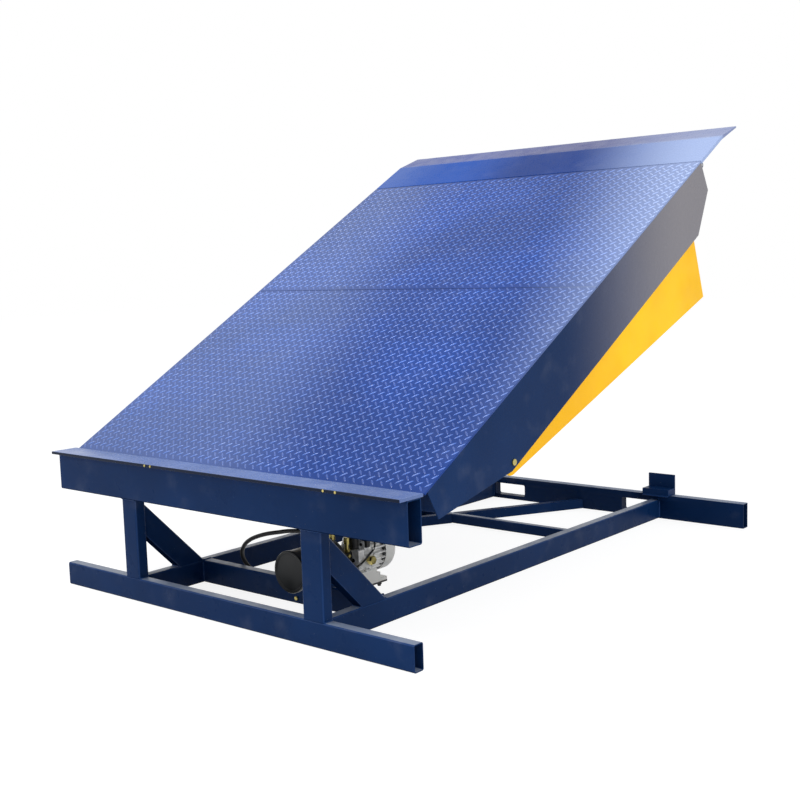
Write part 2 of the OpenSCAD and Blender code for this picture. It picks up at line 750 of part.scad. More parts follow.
// A toe guard hangs from its pivot bolt inside the skirt, and narrows towards the pivot
module toe_guard(side) {
  far = [guard_far_s - guard_pivot_s, guard_pivot_h - guard_far_h];
  top = [far[0] + guard_far_lean, guard_pivot_h - guard_top_h];
  lower_turn = acos(guard_nose_r / norm(far));
  upper_turn = acos(guard_nose_r / norm(top));
  lower = atan2(far[1], far[0]) - lower_turn;
  upper = atan2(top[1], top[0]) + upper_turn;
  outline = concat([far, top], arc(guard_nose_r, upper, lower + 360));
  color(guard_yellow) on_deck() translate([side * (guard_x + guard_t / 2), guard_pivot_s, guard_pivot_n])
    bored_plate(outline, guard_t, guard_bolt_r + pin_gap);
}

// A bolt through each skirt carries a toe guard between its head and a nut
module guard_bolts() {
  shank = 2 * guard_gap + guard_t + skirt_t;
  color(zinc) on_deck() for (side = [-1, 1])
    translate([side * deck_w / 2, guard_pivot_s, guard_pivot_n]) {
      translate([side * bolt_head_t / 2, 0, 0]) bar_x(bolt_head_r, bolt_head_t);
      translate([-side * shank / 2, 0, 0]) bar_x(guard_bolt_r, shank);
      translate([-side * (shank + bolt_head_t / 2), 0, 0]) bar_x(bolt_head_r, bolt_head_t);
    }
}

// A pair of ears under the deck carries the pin of the cylinder's rod
module cylinder_deck_lug() {
  top = deck_bottom - deck_pin_n;
  outline = concat(arc(eye_r, 180, 360), [[2 * eye_r, top], [-2 * eye_r, top]]);
  color(navy) on_deck() translate([0, deck_pin_s, deck_pin_n]) ears(outline);
}

// A round length along Y from one place to another
module round_y(r, from, to)
  translate([0, from, 0]) rotate([-90, 0, 0]) cylinder(r = r, h = to - from);

module cylinder_barrel()
  color(navy) on_lift() difference() {
    union() {
      bar_x(eye_r, eye_w);
      round_y(rod_r, 0, barrel_foot);
      round_y(barrel_r, eye_r + barrel_neck, barrel_len);
      round_y(barrel_r + gland_wall, barrel_len - gland_len, barrel_len);
    }
    bar_x(cylinder_pin_r + pin_gap, eye_w + 2);
    round_y(rod_r + rod_gap, barrel_foot, barrel_len + 1);
  }

// The rod's eye is bored wide, so that the deck's pin stays clear of it over the whole lift
module cylinder_rod() {
  inner_end = barrel_foot + rod_end_gap + lift_len - lift_closed;
  color(steel) on_lift() difference() {
    union() {
      round_y(rod_r, inner_end, lift_len);
      translate([0, lift_len, 0]) bar_x(rod_eye_r, eye_w);
    }
    translate([0, lift_len, 0]) bar_x(rod_eye_bore, eye_w + 2);
  }
}

front_ground_beam();
post(-1);  // left_post
post(1);  // right_post
brace(-1);  // left_brace
brace(1);  // right_brace
upper_beam();
approach_plate();
rail(-1);  // left_rail
rail(1);  // right_rail
front_cross_tube();
middle_cross_tube();
diagonal_tubes();
rear_beam();
keeper(-1);  // left_keeper
keeper(1);  // right_keeper
deck_hinge_lugs();
deck_hinge_pins();
cylinder_base_lug();
tank_saddle();
oil_tank();
valve_block();
motor();
fan_cowl();
terminal_box();
valve_port();
hose_union();
lift_hose();
near_tread_plate();
far_tread_plate();
skirt(-1);  // left_skirt
skirt(1);  // right_skirt
deck_ribs();
near_header();
far_header();
deck_hinge_knuckles();
deck_lip_knuckles();
lip_hinge_pin();
guard_bolts();
cylinder_deck_lug();
lip_plate();
lip_knuckle_row();
toe_guard(-1);  // left_toe_guard
toe_guard(1);  // right_toe_guard
cylinder_barrel();
cylinder_rod();
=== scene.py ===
import json
import math
from collections import namedtuple

import bmesh
import bpy
import numpy as np
from bpy.props import FloatProperty, FloatVectorProperty, PointerProperty
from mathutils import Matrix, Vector


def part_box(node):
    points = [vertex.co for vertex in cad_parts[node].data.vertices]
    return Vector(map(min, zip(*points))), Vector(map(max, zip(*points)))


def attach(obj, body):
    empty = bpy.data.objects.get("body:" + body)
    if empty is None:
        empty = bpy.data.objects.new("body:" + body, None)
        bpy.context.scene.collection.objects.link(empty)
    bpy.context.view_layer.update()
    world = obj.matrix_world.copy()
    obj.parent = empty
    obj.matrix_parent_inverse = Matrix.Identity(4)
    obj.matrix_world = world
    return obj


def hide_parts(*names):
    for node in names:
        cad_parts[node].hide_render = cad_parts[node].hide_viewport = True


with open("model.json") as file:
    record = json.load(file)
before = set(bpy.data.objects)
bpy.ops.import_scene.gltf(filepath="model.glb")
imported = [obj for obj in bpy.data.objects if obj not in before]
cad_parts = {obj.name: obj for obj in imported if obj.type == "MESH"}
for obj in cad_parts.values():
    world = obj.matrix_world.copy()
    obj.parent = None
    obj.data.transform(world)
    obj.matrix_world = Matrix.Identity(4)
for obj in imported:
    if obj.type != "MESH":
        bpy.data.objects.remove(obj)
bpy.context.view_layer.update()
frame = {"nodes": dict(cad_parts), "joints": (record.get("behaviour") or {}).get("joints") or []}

bl_info = {
    "name": "Dock Leveler Dressing",
    "version": (1, 0, 0),
    "blender": (4, 5, 0),
    "location": "View3D > Sidebar > Leveler",
    "description": "Paints and details a floor-standing hydraulic dock leveler",
    "category": "Object",
}

NODES = frame["nodes"]
LIFT = next(joint for joint in frame["joints"] if joint["name"] == "deck_lift")

# The deck's own frame at rest: its hinge axis, the way up its slope and the way out of its plate
HINGE = np.array(LIFT["pos_m"])
SLOPE = math.radians(-LIFT["range_deg"][0])
ALONG = np.array([0.0, math.cos(SLOPE), math.sin(SLOPE)])
OUT = np.array([0.0, -math.sin(SLOPE), math.cos(SLOPE)])

LEFT, RIGHT = np.array([(-1.0, 0, 0), (1, 0, 0)])
FRONT, BACK = np.array([(0, -1.0, 0), (0, 1, 0)])
DOWN, UP = np.array([(0, 0, -1.0), (0, 0, 1)])

# Share of a direction above which a section is squared up on another
STEEP = 0.9

# Camera that was fitted to the photograph: millimetres, metres and degrees
CAMERA_LENS, CAMERA_SENSOR = 52.604, 36.0
CAMERA_PLACE = (3.45849, -2.93919, 1.38081)
CAMERA_TURN = (83.3046, 1.8135, 40.2325)

# Lamps: place, target, size in metres and power in watts
LAMPS = {
    "top_lamp": ((-1.2, -1.2, 6.0), (0, 1.1, 1.0), 3.0, 200),
    "front_lamp": ((-4.0, -5.0, 3.2), (0, 1.0, 0.6), 4.0, 110),
    "side_lamp": ((5.0, 0.5, 3.6), (0, 1.2, 0.6), 3.0, 135),
}

# Route of the lift hose, in metres, from the valve block's port to the union at the cylinder's base
HOSE_ROUTE = np.array([
    (0.132, 0.450, 0.269), (0.110, 0.450, 0.269), (0.068, 0.440, 0.278), (0.030, 0.420, 0.283),
    (-0.024, 0.402, 0.280), (-0.081, 0.394, 0.269), (-0.145, 0.392, 0.255), (-0.207, 0.394, 0.236),
    (-0.262, 0.398, 0.213), (-0.310, 0.406, 0.181), (-0.341, 0.418, 0.140), (-0.341, 0.432, 0.098),
    (-0.312, 0.445, 0.062), (-0.260, 0.450, 0.038), (-0.200, 0.447, 0.028), (-0.144, 0.439, 0.028),
    (-0.110, 0.432, 0.028), (-0.092, 0.431, 0.028), (-0.078, 0.431, 0.028),
])

# Route of the solenoid's cable, from its connector to the valve block's right side
SOLENOID_ROUTE = np.array([
    (0.283, 0.5499, 0.2688), (0.285, 0.5651, 0.2654), (0.2875, 0.5775, 0.2559), (0.290, 0.5847, 0.2421),
    (0.292, 0.5854, 0.2266), (0.2925, 0.5794, 0.2122), (0.292, 0.5684, 0.2019), (0.291, 0.547, 0.189),
    (0.2905, 0.527, 0.1765), (0.2905, 0.503, 0.1635), (0.289, 0.475, 0.1545), (0.283, 0.449, 0.148),
    (0.270, 0.430, 0.144), (0.252, 0.420, 0.142),
])

# A painted highlight, reflection or shade in a paint: its direction, where along that it starts and is full,
# its colour and its strength
PaintedLight = namedtuple("PaintedLight", "way start full colour strength")


class LevelerSizes(bpy.types.PropertyGroup):
    """Sizes of the details that are added to the solids."""

    tube_corner: FloatProperty(
        name="Tube corner", description="Outer corner radius of the frame tubes",
        default=0.008, unit="LENGTH")
    tube_wall: FloatProperty(
        name="Tube wall", description="Wall of the frame tubes", default=0.004, unit="LENGTH")
    weld_radius: FloatProperty(
        name="Weld radius", description="Radius of the weld beads", default=0.0042, unit="LENGTH")
    tread_pitch: FloatProperty(
        name="Tread pitch", description="Distance between tread marks of one direction",
        default=0.044, unit="LENGTH")
    tread_length: FloatProperty(
        name="Tread length", description="Length of a tread mark", default=0.037, unit="LENGTH")
    tread_width: FloatProperty(
        name="Tread width", description="Width of a tread mark", default=0.0090, unit="LENGTH")
    tread_height: FloatProperty(
        name="Tread height", description="Height of a tread mark", default=0.0022, unit="LENGTH")
    hose_diameter: FloatProperty(
        name="Hose diameter", description="Outer diameter of the lift hose", default=0.018, unit="LENGTH")


class LevelerColours(bpy.types.PropertyGroup):
    """Colours of the finishes."""

    frame_navy: FloatVectorProperty(
        name="Frame navy", description="Paint of the frame",
        default=(0.0048, 0.0245, 0.090), subtype="COLOR", size=3)
    deck_blue: FloatVectorProperty(
        name="Deck blue", description="Paint of the deck",
        default=(0.005, 0.039, 0.22), subtype="COLOR", size=3)
    guard_yellow: FloatVectorProperty(
        name="Guard yellow", description="Paint of the toe guards",
        default=(1.0, 0.51, 0.010), subtype="COLOR", size=3)
    casting_grey: FloatVectorProperty(
        name="Casting grey", description="Cast aluminium",
        default=(0.84, 0.84, 0.82), subtype="COLOR", size=3)
    cowl_grey: FloatVectorProperty(
        name="Cowl grey", description="Fan cowl and terminal box",
        default=(0.84, 0.83, 0.79), subtype="COLOR", size=3)
    zinc_yellow: FloatVectorProperty(
        name="Zinc yellow", description="Passivated fittings",
        default=(0.55, 0.46, 0.16), subtype="COLOR", size=3)


def sizes():
    """The user's sizes."""
    return bpy.context.scene.leveler_sizes


def set_all(target, settings):
    """Sets several attributes."""
    for name, value in settings.items():
        setattr(target, name, value)


def box_of(name):
    """Low corner, high corner and middle of a solid's box."""
    low, high = (np.array(v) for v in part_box(name))
    return low, high, (low + high) / 2


def on_deck(x, s, n):
    """World points of deck coordinates: x across, s up the slope from the hinge axis, n out of the plate."""
    x, s, n = np.broadcast_arrays(np.asarray(x, float), s, n)
    return HINGE + x[..., None] * RIGHT + s[..., None] * ALONG + n[..., None] * OUT


def full_turn(steps):
    """Angles that divide a full turn evenly."""
    return np.arange(steps) * 2 * math.pi / steps


def vectors(items, name):
    """One vector of each item of a mesh, such as the place of a point or the normal of a face."""
    values = np.empty(3 * len(items))
    items.foreach_get(name, values)
    return values.reshape(-1, 3)


class Shell:
    """Gathers grids of points into one mesh."""

    MERGE, SQUARE_ON, LOOKS_DOWN = 1e-6, 0.97, -0.5

    def __init__(self):
        self.points, self.corners, self.count = [], [], 0

    def grid(self, points, close_u=False, close_v=False):
        """Adds a surface from points (u, v, 3), joining the last row or column to the first if asked."""
        self.faces(points, grid_faces(*points.shape[:2], close_u, close_v))

    def faces(self, points, faces):
        """Adds points with their own faces, an array of corner numbers."""
        self.points.append(points.reshape(-1, 3))
        self.corners += (np.asarray(faces) + self.count).tolist()
        self.count += len(self.points[-1])

    def piece(self, name, finish, body="frame", slot=None, replaces=(), sharp=35, others=(), axes=None):
        """Makes the mesh, paints it, and lets it ride on a body.

        The slot argument is not used. Three other finishes may be named:
        for corners, whose faces look along none of the axes, for tops and for undersides.
        """
        slot = slot or finish
        mesh = bpy.data.meshes.new(name)
        mesh.from_pydata(np.vstack(self.points).tolist(), [], self.corners)
        surface = bmesh.new()
        surface.from_mesh(mesh)
        bmesh.ops.remove_doubles(surface, verts=surface.verts, dist=self.MERGE)
        bmesh.ops.recalc_face_normals(surface, faces=surface.faces)
        surface.to_mesh(mesh)
        surface.free()
        mesh.polygons.foreach_set("use_smooth", np.ones(len(mesh.polygons), bool))
        mesh.set_sharp_from_angle(angle=math.radians(sharp))
        for part in (finish, *others):
            mesh.materials.append(finishes()[part])
        if others:
            normals = vectors(mesh.polygons, "normal")
            square = np.abs(normals @ np.array(axes).T).max(1) > self.SQUARE_ON
            place = np.where(square, 0, 1)
            place[square & (normals[:, 2] > self.SQUARE_ON)] = 2
            place[normals[:, 2] < self.LOOKS_DOWN] = 3
            mesh.polygons.foreach_set("material_index", place.astype(np.int32))
        piece = bpy.data.objects.new(name, mesh)
        add_modifier(piece, "flat faces", "WEIGHTED_NORMAL", keep_sharp=True)
        bpy.context.scene.collection.objects.link(piece)
        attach(piece, body)
        if replaces:
            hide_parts(*replaces)
        return piece


def grid_faces(m, n, close_u=False, close_v=False):
    """Corner numbers of the quads between m rows of n points."""
    index = np.arange(m * n).reshape(m, n)
    index = np.vstack([index, index[:1]]) if close_u else index
    index = np.hstack([index, index[:, :1]]) if close_v else index
    return np.stack([index[:-1, :-1], index[:-1, 1:], index[1:, 1:], index[1:, :-1]], -1).reshape(-1, 4)


def rounded_outline(width, height, radius, steps=5):
    """A rectangle about the origin with quarter circles at its corners, as points (x, z) in turn."""
    turn = np.linspace(0, math.pi / 2, steps)
    quarter = radius * np.stack([np.cos(turn), np.sin(turn)], 1)
    centre = np.array([width / 2 - radius, height / 2 - radius])
    spin = np.array([[0.0, 1.0], [-1.0, 0.0]])
    places = [(1, 1), (-1, 1), (-1, -1), (1, -1)]
    corners = [quarter @ np.linalg.matrix_power(spin, i) + centre * p for i, p in enumerate(places)]
    return np.vstack(corners)


def frame_tube(shell, start, end, side, width, height, cut_start=None, cut_end=None):
    """A rounded rectangular tube: its outline is carried from start to end, and back along the bore.

    Each point of the outline slides along the tube until it meets the cutting plane of that end.
    """
    start, end, side = (np.asarray(v, float) for v in (start, end, side))
    way = (end - start) / np.linalg.norm(end - start)
    up = np.cross(side, way)
    wall, corner = sizes().tube_wall, sizes().tube_corner
    outer = rounded_outline(width, height, corner)
    inner = rounded_outline(width - 2 * wall, height - 2 * wall, corner - wall)

    def ring(outline, place, cut):
        cut = way if cut is None else np.asarray(cut, float)
        points = place + outline[:, :1] * side + outline[:, 1:] * up
        return points + ((place - points) @ cut / (way @ cut))[:, None] * way

    rings = [ring(outer, start, cut_start), ring(outer, end, cut_end)]
    rings += [ring(inner, end, cut_end), ring(inner, start, cut_start)]
    shell.grid(np.array(rings)[:, ::-1], close_u=True, close_v=True)


def turned(shell, origin, axis, profile, sides=32):
    """A turned piece: pairs of (distance along the axis, radius) swept right round the axis."""
    axis = np.asarray(axis, float)
    side = np.cross(axis, UP if abs(axis[2]) < STEEP else RIGHT)
    side /= np.linalg.norm(side)
    other = np.cross(axis, side)
    profile = np.asarray(profile, float)
    angle = full_turn(sides)
    ring = np.cos(angle)[:, None] * side + np.sin(angle)[:, None] * other
    points = np.asarray(origin, float) + profile[:, :1, None] * axis + profile[:, 1:, None] * ring[None]
    shell.grid(points, close_v=True)


def smooth_path(points, per_span=8):
    """A curve through the points: on each span, the cubic that has the neighbours' chord as its slope."""
    p = np.vstack([2 * points[:1] - points[1:2], points, 2 * points[-1:] - points[-2:-1]])
    t = np.linspace(0, 1, per_span, endpoint=False)[:, None]
    a, b, c, d = (p[i:len(p) - 3 + i, None] for i in range(4))
    curve = 0.5 * (2 * b + (c - a) * t + (2 * a - 5 * b + 4 * c - d) * t**2 + (3 * b - a - 3 * c + d) * t**3)
    return np.vstack([curve.reshape(-1, 3), points[-1:]])


def round_along(shell, path, radius, sides=12, closed=False):
    """A round section carried along a path; radius is one number or one for each point of the path.

    An open path ends in flat discs.
    """
    if closed:
        way = np.roll(path, -1, 0) - np.roll(path, 1, 0)
    else:
        way = np.gradient(path, axis=0)
    way = way / np.linalg.norm(way, axis=1)[:, None]
    lean = np.where(np.abs(way[:, 1:2]) < STEEP, BACK, RIGHT)
    side = np.cross(way, lean)
    side /= np.linalg.norm(side, axis=1)[:, None]
    other = np.cross(way, side)
    angle = full_turn(sides)
    ring = side[:, None] * np.cos(angle)[:, None] + other[:, None] * np.sin(angle)[:, None]
    radius = np.broadcast_to(radius, len(path))
    points = path[:, None] + radius[:, None, None] * ring
    if not closed:
        centres = np.repeat(path[[0, -1], None], sides, 1)
        points = np.concatenate([centres[:1], points, centres[1:]])
    shell.grid(points, close_u=closed, close_v=True)


def slab(shell, origin, side, up, outline, levels):
    """A closed block: an outline on side and up, repeated at each (height, scale) along their cross."""
    origin, side, up = (np.asarray(v, float) for v in (origin, side, up))
    flat = outline[:, :1] * side + outline[:, 1:] * up
    levels = np.asarray(levels, float)
    points = origin + levels[:, 1, None, None] * flat + levels[:, :1, None] * np.cross(side, up)
    shell.grid(points, close_v=True)


def soft_levels(height, ease=0.03):
    """Levels of a block of that height whose edges shrink by the share ease over a short rise."""
    rise = 0.0015
    return [(0, 0), (0, 1 - ease), (rise, 1), (height - rise, 1), (height, 1 - ease), (height, 0)]


def hex_head(shell, origin, axis, across, height):
    """A hexagon sunk a little into its seat, with a chamfered top."""
    r, sunk, chamfer, crown = across / math.sqrt(3), -0.001, 0.8, 0.86
    profile = [(sunk, 0), (sunk, r), (height * chamfer, r), (height, r * crown), (height, 0)]
    turned(shell, origin, axis, profile, sides=6)


def feed(tree, node, inputs):
    """Gives a node's inputs, by name or place, a value or another node's output."""
    for key, value in inputs.items():
        if isinstance(value, bpy.types.NodeSocket):
            tree.links.new(value, node.inputs[key])
        else:
            node.inputs[key].default_value = value


def add_node(tree, kind, inputs, **settings):
    """Adds a node with its settings and its inputs."""
    node = tree.nodes.new(kind)
    set_all(node, settings)
    feed(tree, node, inputs)
    return node


class Finish:
    """A node material on a principled shader, built from Object coordinates."""

    def __init__(self, name, roughness, metallic=0.0, specular=0.5):
        if name in bpy.data.materials:
            bpy.data.materials[name].name = "solid_" + name
        material = bpy.data.materials.new(name)
        material.use_nodes = True
        material["leveler"] = True
        self.tree = material.node_tree
        self.set({"Roughness": roughness, "Metallic": metallic, "Specular IOR Level": specular})
        self.where = self.tree.nodes.new("ShaderNodeTexCoord").outputs["Object"]

    def noise(self, scale, detail, stretch=(1, 1, 1)):
        """Cloudy noise, drawn out along the axes by stretch."""
        place = add_node(self.tree, "ShaderNodeMapping", {"Vector": self.where, "Scale": stretch})
        inputs = {"Vector": place.outputs["Vector"], "Scale": scale, "Detail": detail}
        return add_node(self.tree, "ShaderNodeTexNoise", inputs).outputs["Fac"]

    def along(self, way):
        """How far a point lies along a direction."""
        node = add_node(self.tree, "ShaderNodeVectorMath", {0: self.where, 1: way}, operation="DOT_PRODUCT")
        return node.outputs["Value"]

    def ramp(self, factor, low, high, dark=0.0, light=1.0):
        """Goes smoothly from dark to light while the factor goes from low to high."""
        inputs = {"Value": factor, "From Min": low, "From Max": high, "To Min": dark, "To Max": light}
        node = add_node(self.tree, "ShaderNodeMapRange", inputs, interpolation_type="SMOOTHSTEP")
        return node.outputs["Result"]

    def mix(self, factor, first, second):
        """Blends two colours, each given as numbers or as a socket."""
        first, second = (v if isinstance(v, bpy.types.NodeSocket) else (*v, 1.0) for v in (first, second))
        inputs = {"Factor": factor, "A": first, "B": second}
        return add_node(self.tree, "ShaderNodeMix", inputs, data_type="RGBA").outputs["Result"]

    def set(self, inputs):
        """Feeds the shader's inputs."""
        feed(self.tree, self.tree.nodes["Principled BSDF"], inputs)

    def bump(self, height, strength, distance):
        """Roughens the surface."""
        inputs = {"Height": height, "Strength": strength, "Distance": distance}
        self.set({"Normal": add_node(self.tree, "ShaderNodeBump", inputs).outputs["Normal"]})


def shade(colour, factor):
    """A colour made darker or lighter."""
    return tuple(min(1.0, c * factor) for c in colour)


def paint_finish(name, colour, roughness, specular, dusty=(0.45, 0.47, 0.52), dust=0.10, chips=0.0, painted_lights=()):
    """Sprayed paint: slow tone changes, a thin dust layer, painted highlights, reflections and shade laid
    along directions, an orange-peel surface and a few chips.
    """
    primer = (0.42, 0.42, 0.44)
    finish = Finish(name, roughness, specular=specular)
    tone = finish.mix(finish.ramp(finish.noise(1.7, 4), 0.35, 0.7), shade(colour, 0.86), shade(colour, 1.14))
    dust_and_painted_light = finish.mix(finish.ramp(finish.noise(9, 6), 0.52, 0.85, 0.0, dust), tone, dusty)
    # Each one blends in a painted highlight, reflection or shade along its direction
    for painted_light in painted_lights:
        amount = finish.ramp(finish.along(painted_light.way), painted_light.start, painted_light.full, 0.0, painted_light.strength)
        dust_and_painted_light = finish.mix(amount, dust_and_painted_light, painted_light.colour)
    if chips:
        dust_and_painted_light = finish.mix(finish.ramp(finish.noise(140, 2), 0.76, 0.78, 0.0, chips), dust_and_painted_light, primer)
    gloss = finish.ramp(finish.noise(14, 5), 0.3, 0.75, roughness - 0.06, roughness + 0.10)
    finish.set({"Base Color": dust_and_painted_light, "Roughness": gloss})
    finish.bump(finish.noise(420, 2), 0.10, 0.0006)


def metal_finish(name, colour, roughness, metallic=1.0, grain=(1, 1, 1), scale=60.0):
    """Bare or plated metal: a worn tone, drawn or cast grain in roughness and surface."""
    finish = Finish(name, roughness, metallic=metallic)
    worn = finish.ramp(finish.noise(22, 5), 0.35, 0.7)
    tone = finish.mix(worn, shade(colour, 0.72), shade(colour, 1.1))
    grit = finish.noise(scale, 4, grain)
    gloss = finish.ramp(grit, 0.3, 0.7, roughness - 0.08, roughness + 0.12)
    finish.set({"Base Color": tone, "Roughness": gloss})
    finish.bump(grit, 0.25, 0.0004)


def rubber_finish(name, colour, roughness):
    """Black rubber or plastic with a fine wrapped texture and grey bloom."""
    bloom = (0.03, 0.03, 0.032)
    finish = Finish(name, roughness, specular=0.35)
    tone = finish.mix(finish.ramp(finish.noise(30, 5), 0.45, 0.8, 0, 0.5), colour, bloom)
    finish.set({"Base Color": tone})
    finish.bump(finish.noise(700, 2), 0.3, 0.0004)


def frame_finishes(navy):
    """The frame's navy paint, with tops paler as a painted highlight, edges paler as a painted highlight with
    chips, undersides darker as painted shade, and the rear beam darker as painted shade with a painted
    highlight on its top.
    """
    # A pale colour for faces that look up: a painted highlight of sky light
    painted_top_sheen = (0.20, 0.25, 0.36)
    # The rear beam's top face in the pale colour: a painted highlight
    rear_top_sheen = PaintedLight(UP, 0.1235, 0.1248, painted_top_sheen, 0.9)
    paint_finish("frame_paint", navy, roughness=0.32, specular=0.05, dust=0.05, chips=0.3)
    # Tops paler as a painted highlight, undersides darker as painted shade
    paint_finish("frame_top", shade(painted_top_sheen, 0.8), roughness=0.35, specular=0.3, dust=0.3, chips=0.3)
    paint_finish("frame_under", shade(navy, 0.5), roughness=0.6, specular=0.0, dust=0.0)
    # The rear beam in darker navy: painted shade
    paint_finish("rear_paint", shade(navy, 0.75), roughness=0.32, specular=0.05, dust=0.05, painted_lights=[rear_top_sheen])
    # Edges paler as a painted highlight, with chips
    paint_finish("frame_edge", shade(navy, 1.5), roughness=0.3, specular=0.12, dust=0.15, chips=0.4)


def deck_finishes(navy, blue, yellow):
    """The deck's, lip's, skirts' and guards' paint. Painted reflections lie at the right and low left of the
    deck, across the lip and at its tip, and at the skirts' far end; painted shade lies on the approach
    plate's front face and along the seam; tread marks of one direction carry a painted highlight, those of
    the other painted shade.
    """
    lavender, sky, bright_sky = (0.25, 0.32, 0.50), (0.42, 0.52, 0.78), (0.60, 0.72, 1.0)
    clear_blue, violet, warm_grey = (0.02, 0.20, 0.95), (0.12, 0.11, 0.22), (0.25, 0.235, 0.245)
    # Painted reflections: pale sky at the deck's upper right, lavender at its low left, blue and lavender
    # across the lip, violet at its tip
    corner = tuple(RIGHT + 0.30 * ALONG)
    low_left = tuple(LEFT - 0.32 * ALONG)
    deck_reflections = [PaintedLight(low_left, -0.60, 0.05, lavender, 0.21), PaintedLight(corner, 1.08, 1.84, sky, 0.58)]
    tread_reflections = [
        PaintedLight(low_left, -0.60, 0.05, shade(lavender, 1.25), 0.21), PaintedLight(corner, 1.08, 1.84, bright_sky, 0.68)]
    lip_reflections = [
        PaintedLight(corner, 1.08, 1.84, sky, 0.78), PaintedLight(LEFT, 0.0, 0.55, clear_blue, 0.2),
        PaintedLight(LEFT, 0.6, 1.0, lavender, 0.2), PaintedLight(tuple(ALONG), 2.99, 3.03, violet, 0.5)]
    # The approach plate's front face is darkened: painted shade
    pale_blue, front_face_shade = (0.11, 0.165, 0.36), PaintedLight(FRONT, 0.0725, 0.0745, shade(navy, 0.3), 1.0)
    # Paler blue for marks of one direction, a painted highlight; darker blue for the other, painted shade
    highlit_tread_blue, shaded_tread_blue = (0.07, 0.17, 0.58), (0.022, 0.080, 0.36)
    # A warm grey painted reflection along the skirts' far end
    far_end_reflection = PaintedLight(BACK, 0.9, 2.0, warm_grey, 0.85)
    paint_finish("skirt_paint", navy, roughness=0.28, specular=0.06, dust=0.05, painted_lights=[far_end_reflection])
    paint_finish("deck_paint", blue, roughness=0.27, specular=0.12, dust=0.05, painted_lights=deck_reflections)
    paint_finish("approach_paint", pale_blue, roughness=0.27, specular=0.12, dust=0.15, painted_lights=[front_face_shade])
    paint_finish("lip_paint", blue, roughness=0.25, specular=0.05, dust=0.04, painted_lights=lip_reflections)
    paint_finish("tread_crown", highlit_tread_blue, roughness=0.18, specular=0.5, dust=0.1, painted_lights=tread_reflections)
    paint_finish("tread_flank", shaded_tread_blue, roughness=0.20, specular=0.4, dust=0.1, painted_lights=tread_reflections)
    # The seam is darker as painted shade of the groove between the plates, with the deck's painted reflection
    # at its right
    paint_finish("seam_paint", shade(blue, 0.4), roughness=0.3, specular=0.05, dust=0.05,
                 painted_lights=tread_reflections[1:])
    paint_finish("guard_paint", yellow, roughness=0.34, specular=0.1, dusty=(0.75, 0.6, 0.3), dust=0.04)


def power_unit_finishes(cowl_grey, casting_grey, zinc_yellow):
    """The power unit's paint, castings, platings and rubber."""
    paint_finish("tank_paint", (0.012, 0.013, 0.014), roughness=0.34, specular=0.25, dust=0.06)
    paint_finish("cowl_paint", cowl_grey, roughness=0.42, specular=0.35, dusty=(0.35, 0.33, 0.29), dust=0.35)
    metal_finish("cast_aluminium", casting_grey, roughness=0.42, metallic=0.25, scale=240)
    metal_finish("bare_steel", (0.62, 0.62, 0.63), roughness=0.22, grain=(1, 8, 1))
    metal_finish("zinc_plate", zinc_yellow, roughness=0.30, metallic=0.9)
    rubber_finish("hose_rubber", (0.008, 0.008, 0.009), roughness=0.5)


def finishes():
    """The finishes by name, made at the first call."""
    if not any(material.get("leveler") for material in bpy.data.materials):
        user = bpy.context.scene.leveler_colours
        navy = tuple(user.frame_navy)
        frame_finishes(navy)
        deck_finishes(navy, tuple(user.deck_blue), tuple(user.guard_yellow))
        power_unit_finishes(tuple(user.cowl_grey), tuple(user.casting_grey), tuple(user.zinc_yellow))
    return {material.name: material for material in bpy.data.materials if material.get("leveler")}


def add_modifier(piece, name, kind, **settings):
    """Adds a modifier with its settings."""
    set_all(piece.modifiers.new(name, kind), settings)


def dress(finish, *nodes, edge=0.0015):
    """Gives solids a finish, and softens their sharp edges with modifiers that weld, clean and bevel them."""
    flat, sharp = math.radians(1), math.radians(40)
    for name in nodes:
        node = NODES[name]
        node.data.materials.clear()
        node.data.materials.append(finishes()[finish])
        if edge:
            add_modifier(node, "merge corners", "WELD", merge_threshold=1e-5)
            add_modifier(node, "join flat faces", "DECIMATE", decimate_type="DISSOLVE", angle_limit=flat)
            add_modifier(node, "soft edges", "BEVEL", width=edge, segments=2, limit_method="ANGLE",
                         angle_limit=sharp, harden_normals=False)


